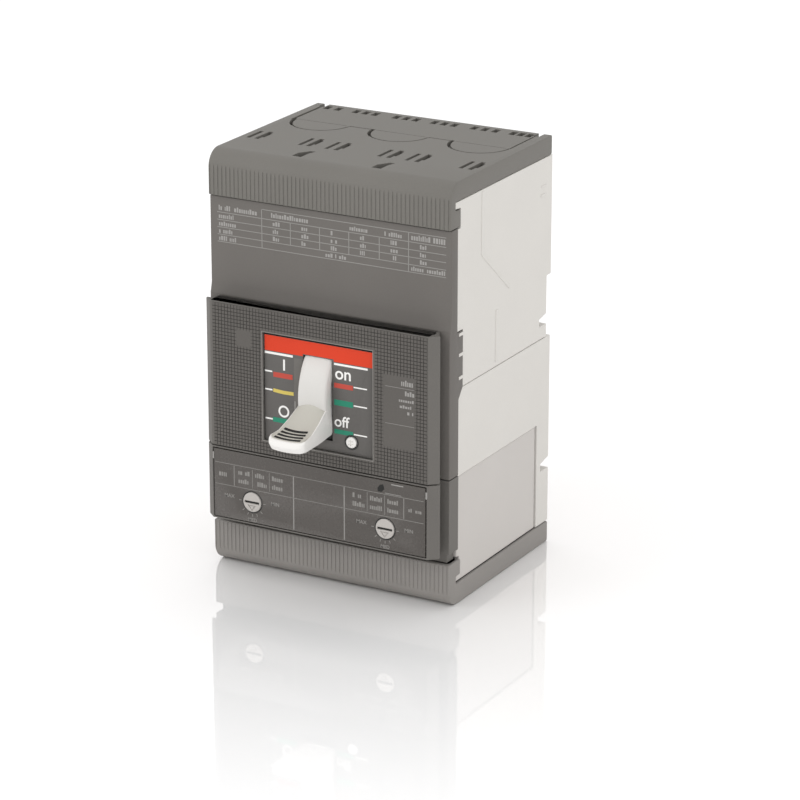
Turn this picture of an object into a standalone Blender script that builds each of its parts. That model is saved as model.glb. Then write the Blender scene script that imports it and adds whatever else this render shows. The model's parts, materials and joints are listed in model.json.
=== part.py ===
"""Three-pole moulded case circuit breaker, as an assembly of separate pieces.

Frame: +X right as seen from the front, +Y back towards the mounting panel, +Z up.
The origin is the centre of the back mounting face. Every dimension below is in
millimetres and MM turns it into metres.
"""
import math

import bmesh
import bpy
from mathutils import Matrix, Vector

MM = 0.001
GAP = 0.3                       # clearance between touching pieces

# Overall size
HALF_WIDTH = 52.5
HALF_HEIGHT = 84.0
COVER_FRONT = -84.0             # front plane of the terminal covers
RATING_FRONT = -83.0            # recessed plate area above the escutcheon
RAISED_FRONT = -92.4            # front plane of the escutcheon and trip unit
LIP_FRONT = -89.4               # where the raised front's side chamfer ends
LIP_BACK = -88.5
RAISED_HALF = 51.0
FLAT_HALF = 47.6                # flat part of the raised front, inside its chamfers
NECK_HALF = 48.5

# Poles
POLE_PITCH = 35.0
POLES = (-POLE_PITCH, 0.0, POLE_PITCH)
CHAMBER_HALF = 15.0

# Levels up the front
COVER_JOINT_TOP = 66.3          # lower edge of the top terminal cover
ESCUTCHEON_TOP = 27.0
TRIP_JOINT = -31.6              # front cover above, trip unit cover below
TRIP_BOTTOM = -61.8
COVER_JOINT_BOTTOM = -66.3
CASE_HALF = 52.2
CASE_TOP = 76.1
CASE_BOTTOM = -75.3

# Mechanism, as (y, z) places
HANDLE_PIVOT = (-71.4, -5.0)
HANDLE_REST_DEG = -20.0         # the lever points this far below straight ahead
SHIELD_RADIUS = 26.0
SHIELD_THICKNESS = 2.4
LEVER_HALF = 6.0                # half the lever's width at its root
LEVER_FLARE = 0.27              # share by which the tip is wider
LEVER_ROOT = 26.0               # reach from the pivot to the root and to the tip
LEVER_TIP = 46.5
CROSSBAR_PIVOT = (-34.0, -10.0)
CROSSBAR_RADIUS = 6.5
CONTACT_OPEN_DEG = 24.1         # the open arm leans this far forward
CRANK_PIN = (-41.8, -5.5)
TOGGLE_PIN = (-54.0, -3.0)
CRADLE_PIVOT = (-52.5, 16.5)
LINK_PIVOT = (-62.0, 10.0)
LATCH_PIVOT = (-71.5, 7.5)
TRIP_BAR_PIVOT = (-54.0, -58.0)

# Controls on the front, as (x, z) places
BUTTON_AT = (14.4, -20.4)
DIAL_X = 29.5
DIAL_Z = -52.3
DIAL_RADIUS = 4.0
SCREWS = ((-17.5, 14.0), (17.5, 14.0))

# Colour, roughness, metallic
FINISHES = {
    "light_housing": ((0.70, 0.68, 0.65), 0.55, 0.0),
    "dark_cover": ((0.19, 0.18, 0.165), 0.5, 0.0),
    "front_plastic": ((0.11, 0.105, 0.097), 0.5, 0.0),
    "plate_plastic": ((0.15, 0.145, 0.135), 0.4, 0.0),
    "white_plastic": ((0.86, 0.85, 0.83), 0.35, 0.0),
    "dial_plastic": ((0.58, 0.56, 0.54), 0.45, 0.0),
    "black_plastic": ((0.03, 0.03, 0.03), 0.5, 0.0),
    "copper": ((0.72, 0.40, 0.26), 0.35, 1.0),
    "zinc_steel": ((0.62, 0.62, 0.60), 0.35, 1.0),
    "spring_steel": ((0.35, 0.35, 0.36), 0.3, 1.0),
    "bimetal_strip": ((0.55, 0.50, 0.44), 0.4, 1.0),
}


def clear_scene():
    for obj in list(bpy.data.objects):
        bpy.data.objects.remove(obj, do_unlink=True)


def make_collection(name):
    collection = bpy.data.collections.new(name)
    bpy.context.scene.collection.children.link(collection)
    return collection


def make_material(name):
    colour, roughness, metallic = FINISHES[name]
    material = bpy.data.materials.new(name)
    material.use_nodes = True
    shader = material.node_tree.nodes["Principled BSDF"]
    shader.inputs["Base Color"].default_value = (*colour, 1.0)
    shader.inputs["Roughness"].default_value = roughness
    shader.inputs["Metallic"].default_value = metallic
    return material


clear_scene()
PARTS = make_collection("molded_case_breaker")
CUTTERS = make_collection("cutters")
MATERIALS = {name: make_material(name) for name in FINISHES}


# ---- shapes -------------------------------------------------------------------------

def new_object(name, mesh, location=(0.0, 0.0, 0.0)):
    """An object in the cutters collection, until part() makes it a piece."""
    obj = bpy.data.objects.new(name, mesh)
    obj.location = Vector(location) * MM
    CUTTERS.objects.link(obj)
    obj.hide_render = True
    obj.display_type = "WIRE"
    return obj


def part(obj, name, finish):
    """Turns a shape into a named piece with its material."""
    CUTTERS.objects.unlink(obj)
    PARTS.objects.link(obj)
    obj.hide_render = False
    obj.display_type = "TEXTURED"
    obj.name = name
    obj.data.name = name
    obj.data.materials.clear()
    obj.data.materials.append(MATERIALS[finish])
    obj.data.shade_smooth()
    obj.data.set_sharp_from_angle(angle=math.radians(30.0))
    return obj


def box(x, y, z):
    """A box between the two ends given on each axis."""
    size = Vector((x[1] - x[0], y[1] - y[0], z[1] - z[0])) * MM
    mesh = bpy.data.meshes.new("box")
    bm = bmesh.new()
    bmesh.ops.create_cube(bm, size=1.0, matrix=Matrix.Diagonal((*size, 1.0)))
    bm.to_mesh(mesh)
    bm.free()
    centre = ((x[0] + x[1]) / 2, (y[0] + y[1]) / 2, (z[0] + z[1]) / 2)
    return new_object("box", mesh, centre)


AXIS_TURN = {
    "X": Matrix.Rotation(math.pi / 2, 4, "Y"),
    "Y": Matrix.Rotation(-math.pi / 2, 4, "X"),
    "Z": Matrix.Identity(4),
}


def rod(axis, centre, radius, length, segments=16):
    """A cylinder whose middle is at centre."""
    mesh = bpy.data.meshes.new("rod")
    bm = bmesh.new()
    bmesh.ops.create_cone(bm, cap_ends=True, segments=segments, radius1=radius * MM,
                          radius2=radius * MM, depth=length * MM, matrix=AXIS_TURN[axis])
    bm.to_mesh(mesh)
    bm.free()
    return new_object("rod", mesh, centre)


def curve_to_mesh(curve, matrix):
    """The closed mesh of a filled curve."""
    holder = bpy.data.objects.new("curve", curve)
    holder.matrix_world = matrix
    CUTTERS.objects.link(holder)
    bpy.context.view_layer.update()
    graph = bpy.context.evaluated_depsgraph_get()
    mesh = bpy.data.meshes.new_from_object(holder.evaluated_get(graph))
    bm = bmesh.new()
    bm.from_mesh(mesh)
    bmesh.ops.remove_doubles(bm, verts=bm.verts, dist=0.000002)
    bmesh.ops.recalc_face_normals(bm, faces=bm.faces)
    bm.to_mesh(mesh)
    bm.free()
    obj = new_object("outline", mesh)
    obj.matrix_world = matrix
    bpy.data.objects.remove(holder, do_unlink=True)
    bpy.data.curves.remove(curve)
    return obj


# Columns: where an outline's own two axes and its thickness point.
OUTLINE_TURN = {
    "X": Matrix(((0, 0, 1, 0), (1, 0, 0, 0), (0, 1, 0, 0), (0, 0, 0, 1))),
    "Z": Matrix.Identity(4),
}


def outline(axis, points, start, end):
    """A flat outline, (y, z) for axis X or (x, y) for axis Z, between two planes."""
    curve = bpy.data.curves.new("outline", "CURVE")
    curve.dimensions = "2D"
    curve.fill_mode = "BOTH"
    curve.extrude = (end - start) / 2 * MM
    spline = curve.splines.new("POLY")
    spline.points.add(len(points) - 1)
    for point, (a, b) in zip(spline.points, points):
        point.co = (a * MM, b * MM, 0.0, 1.0)
    spline.use_cyclic_u = True
    middle = (start + end) / 2 * MM
    shift = Vector((middle, 0, 0)) if axis == "X" else Vector((0, 0, middle))
    return curve_to_mesh(curve, Matrix.Translation(shift) @ OUTLINE_TURN[axis])


def arc(centre, radius, start_deg, end_deg, steps):
    """Points along an arc, with degrees turning from +first axis to +second."""
    points = []
    for step in range(steps + 1):
        angle = math.radians(start_deg + (end_deg - start_deg) * step / steps)
        points.append((centre[0] + radius * math.cos(angle),
                       centre[1] + radius * math.sin(angle)))
    return points


def combine(obj, other, operation):
    modifier = obj.modifiers.new(operation.lower(), "BOOLEAN")
    modifier.operation = operation
    modifier.object = other
    modifier.solver = "EXACT"
    return obj


def cut(obj, *cutters):
    for cutter in cutters:
        combine(obj, cutter, "DIFFERENCE")
    return obj


def join(obj, *others):
    for other in others:
        combine(obj, other, "UNION")
    return obj


def turn_about(obj, pivot, degrees):
    """Turns a shape about the line along X through a (y, z) point."""
    place = Vector((0.0, pivot[0], pivot[1])) * MM
    turn = Matrix.Rotation(math.radians(degrees), 4, "X")
    bpy.context.view_layer.update()
    obj.matrix_world = (Matrix.Translation(place) @ turn @ Matrix.Translation(-place)
                        @ obj.matrix_world)
    return obj


def put_origin(obj, point):
    """Moves an object's origin, leaving its shape where it is."""
    bpy.context.view_layer.update()
    target = Matrix.Translation(Vector(point) * MM)
    obj.data.transform(target.inverted() @ obj.matrix_world)
    obj.matrix_world = target
    return obj


def coil(start, end, radius, wire, turns, steps=8):
    """A coil spring between two points."""
    start = Vector(start)
    end = Vector(end)
    axis = (end - start).normalized()
    side = axis.cross(Vector((0.0, 0.0, 1.0))).normalized()
    over = axis.cross(side)
    curve = bpy.data.curves.new("coil", "CURVE")
    curve.dimensions = "3D"
    curve.bevel_depth = wire * MM
    curve.bevel_resolution = 0
    curve.use_fill_caps = True
    spline = curve.splines.new("POLY")
    count = turns * steps + 1
    spline.points.add(count - 1)
    for index in range(count):
        angle = 2 * math.pi * index / steps
        centre = start.lerp(end, index / (count - 1))
        place = centre + (side * math.cos(angle) + over * math.sin(angle)) * radius
        spline.points[index].co = (*(place * MM), 1.0)
    return curve_to_mesh(curve, Matrix.Identity(4))


def strip(path, thickness):
    """The closed outline of a strip that follows a path of (y, z) points."""
    left = []
    right = []
    for index, point in enumerate(path):
        before = Vector(path[max(index - 1, 0)])
        after = Vector(path[min(index + 1, len(path) - 1)])
        along = (after - before).normalized()
        side = Vector((-along.y, along.x)) * thickness / 2
        left.append(tuple(Vector(point) + side))
        right.append(tuple(Vector(point) - side))
    return left + right[::-1]


def smooth_path(points, steps=4):
    """A Catmull-Rom curve through (y, z) points."""
    ends = [points[0]] + list(points) + [points[-1]]
    path = []
    for index in range(1, len(ends) - 2):
        p0, p1, p2, p3 = (Vector(ends[index + k]) for k in (-1, 0, 1, 2))
        for step in range(steps):
            t = step / steps
            path.append(0.5 * (2 * p1 + (p2 - p0) * t + (2 * p0 - 5 * p1 + 4 * p2 - p3) * t * t
                               + (3 * p1 - p0 - 3 * p2 + p3) * t ** 3))
    path.append(Vector(points[-1]))
    return path


# ---- case ---------------------------------------------------------------------------

def upper_case():
    """Contact and arc chamber housing, open to the front and to the terminals above."""
    profile = [(0, CASE_TOP), (-79.5, CASE_TOP), (-79.5, 73.6), (-75.5, 73.3), (-75.5, 65.5),
               (-77.6, 65.5), (-77.6, 25.6), (-73.2, 25.6), (-73.2, 3.0), (-3.5, 3.0),
               (-3.5, 8.3), (-9.6, 8.3), (-9.6, 11.3), (-3.6, 12.5), (-3.5, 27.9), (0, 27.9)]
    case = outline("X", profile, -CASE_HALF, CASE_HALF)
    join(case, box((-50.6, 50.6), (-76, -3.6), (CASE_TOP - 0.4, 81)))
    for x in POLES:
        chamber = (x - CHAMBER_HALF, x + CHAMBER_HALF)
        cut(case, box(chamber, (-90, -6), (15, 90)), box(chamber, (-90, -13), (-5, 15.5)))
    for x, z in SCREWS:
        cut(case, rod("Y", (x, -70, z), 1.8, 20, 12))
    part(case, "upper_case", "light_housing")


def lower_case():
    """Rear half that carries the crossbar and, in its bay, the trip unit."""
    profile = [(-10.4, CASE_BOTTOM), (0, CASE_BOTTOM), (0, -52.8), (-7, -52.8), (-7, -49.6),
               (0, -48.2), (0, 2.7), (-73.2, 2.7), (-76.5, -1.5), (-76.5, -32.3),
               (-10.4, -32.3)]
    case = outline("X", profile, -CASE_HALF, CASE_HALF)
    join(case, box((-50.6, 50.6), (-9.8, -3.6), (-81, CASE_BOTTOM + 0.4)))
    for x in POLES:
        cut(case, box((x - CHAMBER_HALF, x + CHAMBER_HALF), (-90, -6), (-40, 10)))
    crossbar_y, crossbar_z = CROSSBAR_PIVOT
    cut(case, box((-48.5, 48.5), (-90, crossbar_y + 7.5), (crossbar_z - 7.5, crossbar_z + 7.5)))
    button_x, button_z = BUTTON_AT
    cut(case, box((button_x - 2, button_x + 1.8), (-90, -48), (button_z - 2.2, button_z + 2.4)))
    part(case, "lower_case", "light_housing")


def trip_unit_case():
    profile = [(-10.8, -32.6), (-76.4, -32.6), (-76.4, -65.4), (-74.3, -65.4), (-74.3, -72.9),
               (-77.6, -72.9), (-77.6, CASE_BOTTOM), (-10.8, CASE_BOTTOM)]
    case = outline("X", profile, -51.6, 51.6)
    for x in POLES:
        cut(case, box((x - 14.5, x + 14.5), (-90, -14), (-90, -36)))
        cut(case, box((x - 8.6, x + 8.6), (-42, -31), (-37, -30)))
    bar_y, bar_z = TRIP_BAR_PIVOT
    cut(case, box((-49, 49), (-90, bar_y + 4), (bar_z - 4, bar_z + 4)))
    cut(case, box((13.2, 15.4), (-90, bar_y + 5), (bar_z - 6, -30)))
    part(case, "trip_unit_case", "light_housing")


def front_cover():
    """Main cover: rating plate area above, flat seat for the escutcheon below."""
    profile = [(RATING_FRONT, 66), (-77.9, 66), (-77.9, 25.3), (-73.5, 25.3), (-73.5, 3.0),
               (-76.8, -1.2), (-76.8, TRIP_JOINT), (COVER_FRONT, TRIP_JOINT),
               (COVER_FRONT, ESCUTCHEON_TOP), (RATING_FRONT, ESCUTCHEON_TOP)]
    cover = outline("X", profile, -HALF_WIDTH, HALF_WIDTH)
    cut(cover, box((-50, 50), (-80.5, -60), (-29, 63.5)))
    cut(cover, box((-12.2, 12.2), (-90, -70), (-40, 22)))
    cut(cover, rod("Y", (BUTTON_AT[0], -82, BUTTON_AT[1]), 1.7, 10, 12))
    for x, z in SCREWS:
        cut(cover, rod("Y", (x, -82, z), 1.8, 10, 12))
    part(cover, "front_cover", "dark_cover")


def raised_front(back, bottom, top):
    """Solid raised front with side chamfers and an undercut behind its lip."""
    right = [(FLAT_HALF, RAISED_FRONT), (RAISED_HALF, LIP_FRONT), (RAISED_HALF, LIP_BACK),
             (NECK_HALF, LIP_BACK), (NECK_HALF, back)]
    left = [(-x, y) for x, y in right]
    return outline("Z", right + left[::-1], bottom, top)


def escutcheon():
    frame = raised_front(COVER_FRONT - GAP, TRIP_JOINT + 0.1, ESCUTCHEON_TOP)
    cut(frame, box((-46.5, 46.5), (-90.2, -80), (-29.3, 19.8)))
    cut(frame, box((-47.4, 47.4), (-91.2, -85.5), (22.8, 30)))
    cut(frame, box((-24.2, 24.2), (-100, -80), (-25.8, 18.0)))
    part(frame, "escutcheon", "front_plastic")


def indicator_plate():
    plate = box((-23.9, 23.9), (-91.6, -90.1), (-25.5, 17.7))
    cut(plate, box((-6.4, 6.4), (-95, -85), (-23.6, 13.6)))
    cut(plate, rod("Y", (BUTTON_AT[0], -91, BUTTON_AT[1]), 2.5, 5, 20))
    part(plate, "indicator_plate", "plate_plastic")


def trip_unit_cover():
    cover = box((-HALF_WIDTH, HALF_WIDTH), (COVER_FRONT, -76.7), (TRIP_BOTTOM, TRIP_JOINT - GAP))
    join(cover, box((-50.5, 50.5), (-82, -76.7), (COVER_JOINT_BOTTOM + GAP, TRIP_BOTTOM + 1)))
    join(cover, raised_front(COVER_FRONT + 1, TRIP_BOTTOM, TRIP_JOINT - GAP))
    cut(cover, box((-50, 50), (-81.5, -70), (-59.5, -34.2)))
    cut(cover, box((-46, 46), (-88.8, -81), (-59.5, -34.2)))
    cut(cover, box((-47.2, 47.2), (-95, -91), (-61.2, -32.5)))
    for x in (-DIAL_X, DIAL_X):
        cut(cover, rod("Y", (x, -90, DIAL_Z), 2.4, 10, 16))
    part(cover, "trip_unit_cover", "dark_cover")


def trip_unit_faceplate():
    plate = box((-46.8, 46.8), (-92.6, -91.3), (-60.8, -32.9))
    for x in (-DIAL_X, DIAL_X):
        cut(plate, rod("Y", (x, -92, DIAL_Z), DIAL_RADIUS + 0.35, 5, 24))
    part(plate, "trip_unit_faceplate", "plate_plastic")


def top_terminal_cover():
    radius = 7.0
    corner = (COVER_FRONT + radius, HALF_HEIGHT - radius)
    profile = [(COVER_FRONT, COVER_JOINT_TOP)]
    profile += arc(corner, radius, 180, 90, 6)
    profile += [(-1, HALF_HEIGHT), (-1, 76.4), (-79.8, 76.4), (-79.8, 73.0), (-75.8, 73.0),
                (-75.8, COVER_JOINT_TOP)]
    cover = outline("X", profile, -HALF_WIDTH, HALF_WIDTH)
    cut(cover, box((-50.9, 50.9), (-81.5, -3.2), (60, 81.4)))
    part(cover, "top_terminal_cover", "dark_cover")


def bottom_terminal_cover():
    radius = 7.0
    corner = (COVER_FRONT + radius, -HALF_HEIGHT + radius)
    profile = [(COVER_FRONT, COVER_JOINT_BOTTOM)]
    profile += arc(corner, radius, 180, 270, 6)
    profile += [(-0.5, -HALF_HEIGHT), (-0.5, -75.7), (-78, -75.7), (-78, -72.6),
                (-74.7, -72.6), (-74.7, COVER_JOINT_BOTTOM)]
    cover = outline("X", profile, -HALF_WIDTH, HALF_WIDTH)
    cut(cover, box((-50.9, 50.9), (-81.5, -3.0), (-81.4, -60)))
    part(cover, "bottom_terminal_cover", "dark_cover")


def cover_screws():
    for number, (x, z) in enumerate(SCREWS, 1):
        screw = rod("Y", (x, -85.4, z), 3.0, 2.0, 16)
        join(screw, rod("Y", (x, -75, z), 1.4, 20, 10))
        cut(screw, box((x - 2, x + 2), (-90, -85.6), (z - 0.4, z + 0.4)))
        part(screw, f"cover_screw_{number}", "zinc_steel")


# ---- handle and mechanism -----------------------------------------------------------

def on_handle(radius, across=0.0):
    """A (y, z) place on the resting lever: out from the pivot, and up across it."""
    angle = math.radians(HANDLE_REST_DEG)
    out = Vector((-math.cos(angle), math.sin(angle)))
    up = Vector((math.sin(angle), math.cos(angle)))
    return tuple(Vector(HANDLE_PIVOT) + out * radius + up * across)


def pivot_point(pivot):
    return (0.0, pivot[0], pivot[1])


def toggle_lever():
    """Finger paddle: a wedge, wider and thinner towards its lip."""
    profile = [on_handle(24.5, -4.6), on_handle(24.5, 5.6), on_handle(31.0, 4.5),
               on_handle(38.0, 4.3), on_handle(45.2, 5.9), on_handle(46.2, 5.5),
               on_handle(46.6, 4.4), on_handle(46.0, 1.8), on_handle(44.6, 1.0),
               on_handle(34.0, -2.6)]
    lever = outline("X", profile, -LEVER_HALF, LEVER_HALF)
    for vertex in lever.data.vertices:
        place = lever.matrix_world @ vertex.co
        reach = (Vector((place.y, place.z)) / MM - Vector(HANDLE_PIVOT)).length
        share = min(max((reach - LEVER_ROOT) / (LEVER_TIP - LEVER_ROOT), 0.0), 1.0)
        place.x *= 1.0 + LEVER_FLARE * share
        vertex.co = lever.matrix_world.inverted() @ place
    return lever


def toggle_handle():
    """White lever with the curved shield that keeps its slot closed."""
    y, z = HANDLE_PIVOT
    first = 180 - HANDLE_REST_DEG - 64
    last = 180 - HANDLE_REST_DEG + 62
    shield = arc((y, z), SHIELD_RADIUS, first, last, 28)
    shield += arc((y, z), SHIELD_RADIUS - SHIELD_THICKNESS, last, first, 28)
    handle = outline("X", shield, -6.0, 6.0)
    cheek = arc((y, z), SHIELD_RADIUS - 1.0, first, last, 28)
    cheek += arc((y, z), 18.6, last, first, 28)
    for side in (-1, 1):
        inner, outer = sorted((side * 4.4, side * 5.7))
        join(handle, outline("X", cheek, inner, outer))
    stem = outline("X", [on_handle(17.9, -4), on_handle(17.9, 4), on_handle(24, 4),
                         on_handle(24, -4)], -5.0, 5.0)
    join(handle, stem, toggle_lever())
    part(handle, "toggle_handle", "white_plastic")
    put_origin(handle, pivot_point(HANDLE_PIVOT))


def handle_arm():
    """Steel yoke that the lever is pressed on, with its two stub pivots."""
    def slab(near, far, half_width, half_depth):
        points = [on_handle(near, -half_depth), on_handle(near, half_depth),
                  on_handle(far, half_depth), on_handle(far, -half_depth)]
        return outline("X", points, -half_width, half_width)
    arm = slab(-4.2, 17.5, 11.8, 4.2)
    cut(arm, slab(-10, 14.6, 10.6, 10))
    for side in (-1, 1):
        join(arm, rod("X", (side * 12.2, *HANDLE_PIVOT), 2.0, 2.4, 14))
    part(arm, "handle_arm", "zinc_steel")
    put_origin(arm, pivot_point(HANDLE_PIVOT))


def mechanism_plates():
    profile = [(-79, -12), (-79, 12), (-70, 20.5), (-44, 20.5), (-42.5, 10), (-42.5, -12),
               (-50, -16), (-70, -16)]
    for name, inner, outer in (("mechanism_plate_left", -13.4, -12.1),
                               ("mechanism_plate_right", 12.1, 13.4)):
        plate = outline("X", profile, inner, outer)
        middle = (inner + outer) / 2
        cut(plate, rod("X", (middle, *HANDLE_PIVOT), 2.3, 5, 16))
        cut(plate, rod("X", (middle, *CRADLE_PIVOT), 1.9, 5, 14))
        cut(plate, rod("X", (middle, *LATCH_PIVOT), 1.5, 5, 14))
        part(plate, name, "zinc_steel")


def mechanism_pins():
    part(rod("X", (0, *CRADLE_PIVOT), 1.6, 28.4, 14), "cradle_pin", "zinc_steel")
    part(rod("X", (0, *LATCH_PIVOT), 1.2, 28.4, 14), "latch_pin", "zinc_steel")


def cradle():
    """Latched lever that holds the upper toggle link's pivot."""
    profile = arc(CRADLE_PIVOT, 2.8, -100, 100, 8)
    profile += [(-59.0, 17.0), (-66.2, 16.4), (-66.6, 14.5), (-66.0, 12.0), (-65.0, 10.5)]
    profile += arc(LINK_PIVOT, 3.0, 200, 300, 4)
    lever = outline("X", profile, -1.5, 1.5)
    cut(lever, rod("X", (0, *CRADLE_PIVOT), 1.9, 8, 14))
    join(lever, rod("X", (1.1, *LINK_PIVOT), 1.5, 5.2, 12))
    part(lever, "cradle", "zinc_steel")
    put_origin(lever, pivot_point(CRADLE_PIVOT))


def latch_hook():
    """Latch in front of the cradle's nose."""
    y, z = LATCH_PIVOT
    profile = arc(LATCH_PIVOT, 2.4, 150, 370, 8)
    profile += [(y + 4.3, z + 3.0), (y + 4.3, z + 9.0), (y + 1.9, z + 9.0)]
    hook = outline("X", profile, -1.5, 1.5)
    cut(hook, rod("X", (0, *LATCH_PIVOT), 1.5, 8, 14))
    part(hook, "latch_hook", "zinc_steel")
    put_origin(hook, pivot_point(LATCH_PIVOT))


def link_profile(start, end, half_width, end_cap=True):
    """A link's outline: a round eye at the start and a round or square far end."""
    direction = (Vector(end) - Vector(start)).normalized()
    angle = math.degrees(math.atan2(direction.y, direction.x))
    points = arc(start, half_width, angle + 90, angle + 270, 8)
    if end_cap:
        return points + arc(end, half_width, angle - 90, angle + 90, 8)
    side = Vector((-direction.y, direction.x)) * half_width
    return points + [tuple(Vector(end) - side), tuple(Vector(end) + side)]


def toggle_links():
    """Upper link ends short of the toggle pin, where the linkage is opened."""
    reach = Vector(TOGGLE_PIN) - Vector(LINK_PIVOT)
    stop = Vector(LINK_PIVOT) + reach * (1 - 3.4 / reach.length)
    upper = outline("X", link_profile(LINK_PIVOT, tuple(stop), 2.8, False), 2.0, 3.4)
    cut(upper, rod("X", (2.7, *LINK_PIVOT), 1.85, 5, 14))
    part(upper, "toggle_link_upper", "zinc_steel")
    put_origin(upper, pivot_point(LINK_PIVOT))

    lower = outline("X", link_profile(CRANK_PIN, TOGGLE_PIN, 2.6), 6.1, 7.4)
    join(lower, outline("X", link_profile(CRANK_PIN, TOGGLE_PIN, 2.6), -7.4, -6.1))
    cut(lower, rod("X", (0, *CRANK_PIN), 1.75, 20, 14))
    join(lower, rod("X", (0, *TOGGLE_PIN), 1.5, 19, 12))
    part(lower, "toggle_link_lower", "zinc_steel")
    put_origin(lower, pivot_point(CRANK_PIN))


def main_springs():
    """Pair of pull springs from the toggle pin to the handle arm's bridge."""
    hook = Vector(on_handle(13.8))
    pin = Vector(TOGGLE_PIN)
    start = pin.lerp(hook, 0.12)
    for name, x in (("main_spring_left", -3.2), ("main_spring_right", 3.2)):
        spring = coil((x, *start), (x, *hook), 2.1, 0.45, 9)
        part(spring, name, "spring_steel")


def crossbar():
    """Moulded shaft that turns the three contact arms together."""
    bar = rod("X", (0, *CROSSBAR_PIVOT), CROSSBAR_RADIUS, 96.0, 20)
    y, z = CROSSBAR_PIVOT
    for x in POLES:
        pocket = box((x - 3.8, x + 3.8), (y - 10, y + 10), (z + 1.5, z + 9))
        cut(bar, turn_about(pocket, CROSSBAR_PIVOT, CONTACT_OPEN_DEG))
    for side in (-1, 1):
        inner, outer = sorted((side * 4.2, side * 5.8))
        join(bar, outline("X", link_profile(CROSSBAR_PIVOT, CRANK_PIN, 3.0), inner, outer))
        join(bar, rod("X", (side * 6.5, *CRANK_PIN), 1.4, 2.4, 12))
    part(bar, "crossbar", "black_plastic")
    put_origin(bar, pivot_point(CROSSBAR_PIVOT))


def moving_contacts():
    """Contact arms, drawn upright and turned to their open place."""
    y, z = CROSSBAR_PIVOT
    profile = [(y - 2.6, z + 1.9), (y + 2.6, z + 1.9), (y + 2.6, z + 36), (y + 3.6, z + 36.6),
               (y + 3.6, z + 41.4), (y + 2.6, z + 42), (y + 1.6, z + 43), (y - 1.4, z + 43),
               (y - 2.6, z + 41)]
    for number, x in enumerate(POLES, 1):
        arm = turn_about(outline("X", profile, x - 3.5, x + 3.5), CROSSBAR_PIVOT,
                         CONTACT_OPEN_DEG)
        part(arm, f"moving_contact_{number}", "copper")
        put_origin(arm, (x, *CROSSBAR_PIVOT))


# ---- current path -------------------------------------------------------------------

def line_terminals():
    profile = [(-24, 80.5), (-20.5, 80.5), (-20.5, 29), (-26, 29), (-26, 36), (-24, 37)]
    for number, x in enumerate(POLES, 1):
        bar = outline("X", profile, x - 8, x + 8)
        cut(bar, rod("Y", (x, -22, 72), 3.0, 10, 14))
        part(bar, f"line_terminal_{number}", "copper")


def load_terminals():
    for number, x in enumerate(POLES, 1):
        bar = box((x - 8, x + 8), (-38, -35), (-80.5, -33.5))
        cut(bar, rod("Y", (x, -36, -72), 3.0, 10, 14))
        part(bar, f"load_terminal_{number}", "copper")


def terminal_screws():
    for number, x in enumerate(POLES, 1):
        for name, y, z in (("line", -24.0, 72.0), ("load", -38.0, -72.0)):
            screw = rod("Y", (x, y - GAP - 2.5, z), 5.0, 5.0, 16)
            join(screw, rod("Y", (x, y + 4, z), 2.6, 12.6, 12))
            cut(screw, rod("Y", (x, y - 5, z), 2.2, 5.0, 6))
            part(screw, f"{name}_terminal_screw_{number}", "zinc_steel")


def arc_chutes():
    """Each stack of splitter plates and its two fibre cheeks is one piece."""
    pitch = 5.4
    for number, x in enumerate(POLES, 1):
        chute = box((x - 14, x + 14), (-62, -29), (22, 61.4))
        for level in range(7):
            bottom = 23.6 + level * pitch
            cut(chute, box((x - 12.6, x + 12.6), (-70, -20), (bottom, bottom + 3.8)))
        cut(chute, box((x - 5.5, x + 5.5), (-70, -20), (15, 40)))
        part(chute, f"arc_chute_{number}", "zinc_steel")


def flexible_braids():
    """Copper braid looped behind the crossbar, from contact arm to trip unit."""
    route = [(-34.4, 1.2), (-27.5, 2.2), (-20.5, -4), (-19.5, -14), (-24, -24), (-31, -29.5),
             (-36.2, -32.6)]
    profile = strip(smooth_path(route, 3), 1.8)
    for number, x in enumerate(POLES, 1):
        part(outline("X", profile, x - 3.5, x + 3.5), f"flexible_braid_{number}", "copper")


# ---- trip unit ----------------------------------------------------------------------

def trip_elements():
    """Bimetal, magnet yoke and armature plate of each pole."""
    for number, x in enumerate(POLES, 1):
        strip_profile = [(-43.4, -38), (-42.2, -38), (-42.2, -63.6), (-38.4, -63.6),
                         (-38.4, -66), (-43.4, -66)]
        bimetal = outline("X", strip_profile, x - 4.5, x + 4.5)
        part(bimetal, f"bimetal_{number}", "bimetal_strip")
        yoke = box((x - 11.5, x + 11.5), (-48.5, -31.5), (-57, -45))
        cut(yoke, box((x - 9.7, x + 9.7), (-60, -33.4), (-60, -40)))
        part(yoke, f"magnet_yoke_{number}", "zinc_steel")
        armature = box((x - 11, x + 11), (-51.7, -50.4), (-54.4, -43))
        part(armature, f"armature_{number}", "zinc_steel")
        put_origin(armature, (x, *TRIP_BAR_PIVOT))


def trip_bar():
    """Common bar with an arm behind each armature and a finger for the button."""
    y, z = TRIP_BAR_PIVOT
    bar = rod("X", (0, y, z), 3.0, 96.0, 16)
    for x in POLES:
        join(bar, box((x - 2, x + 2), (y - 1.2, y + 2), (z + 1, z + 14)))
    join(bar, box((13.6, 14.8), (y - 1.5, y + 1), (z + 1, BUTTON_AT[1] + 1.9)))
    part(bar, "trip_bar", "black_plastic")
    put_origin(bar, pivot_point(TRIP_BAR_PIVOT))


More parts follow.
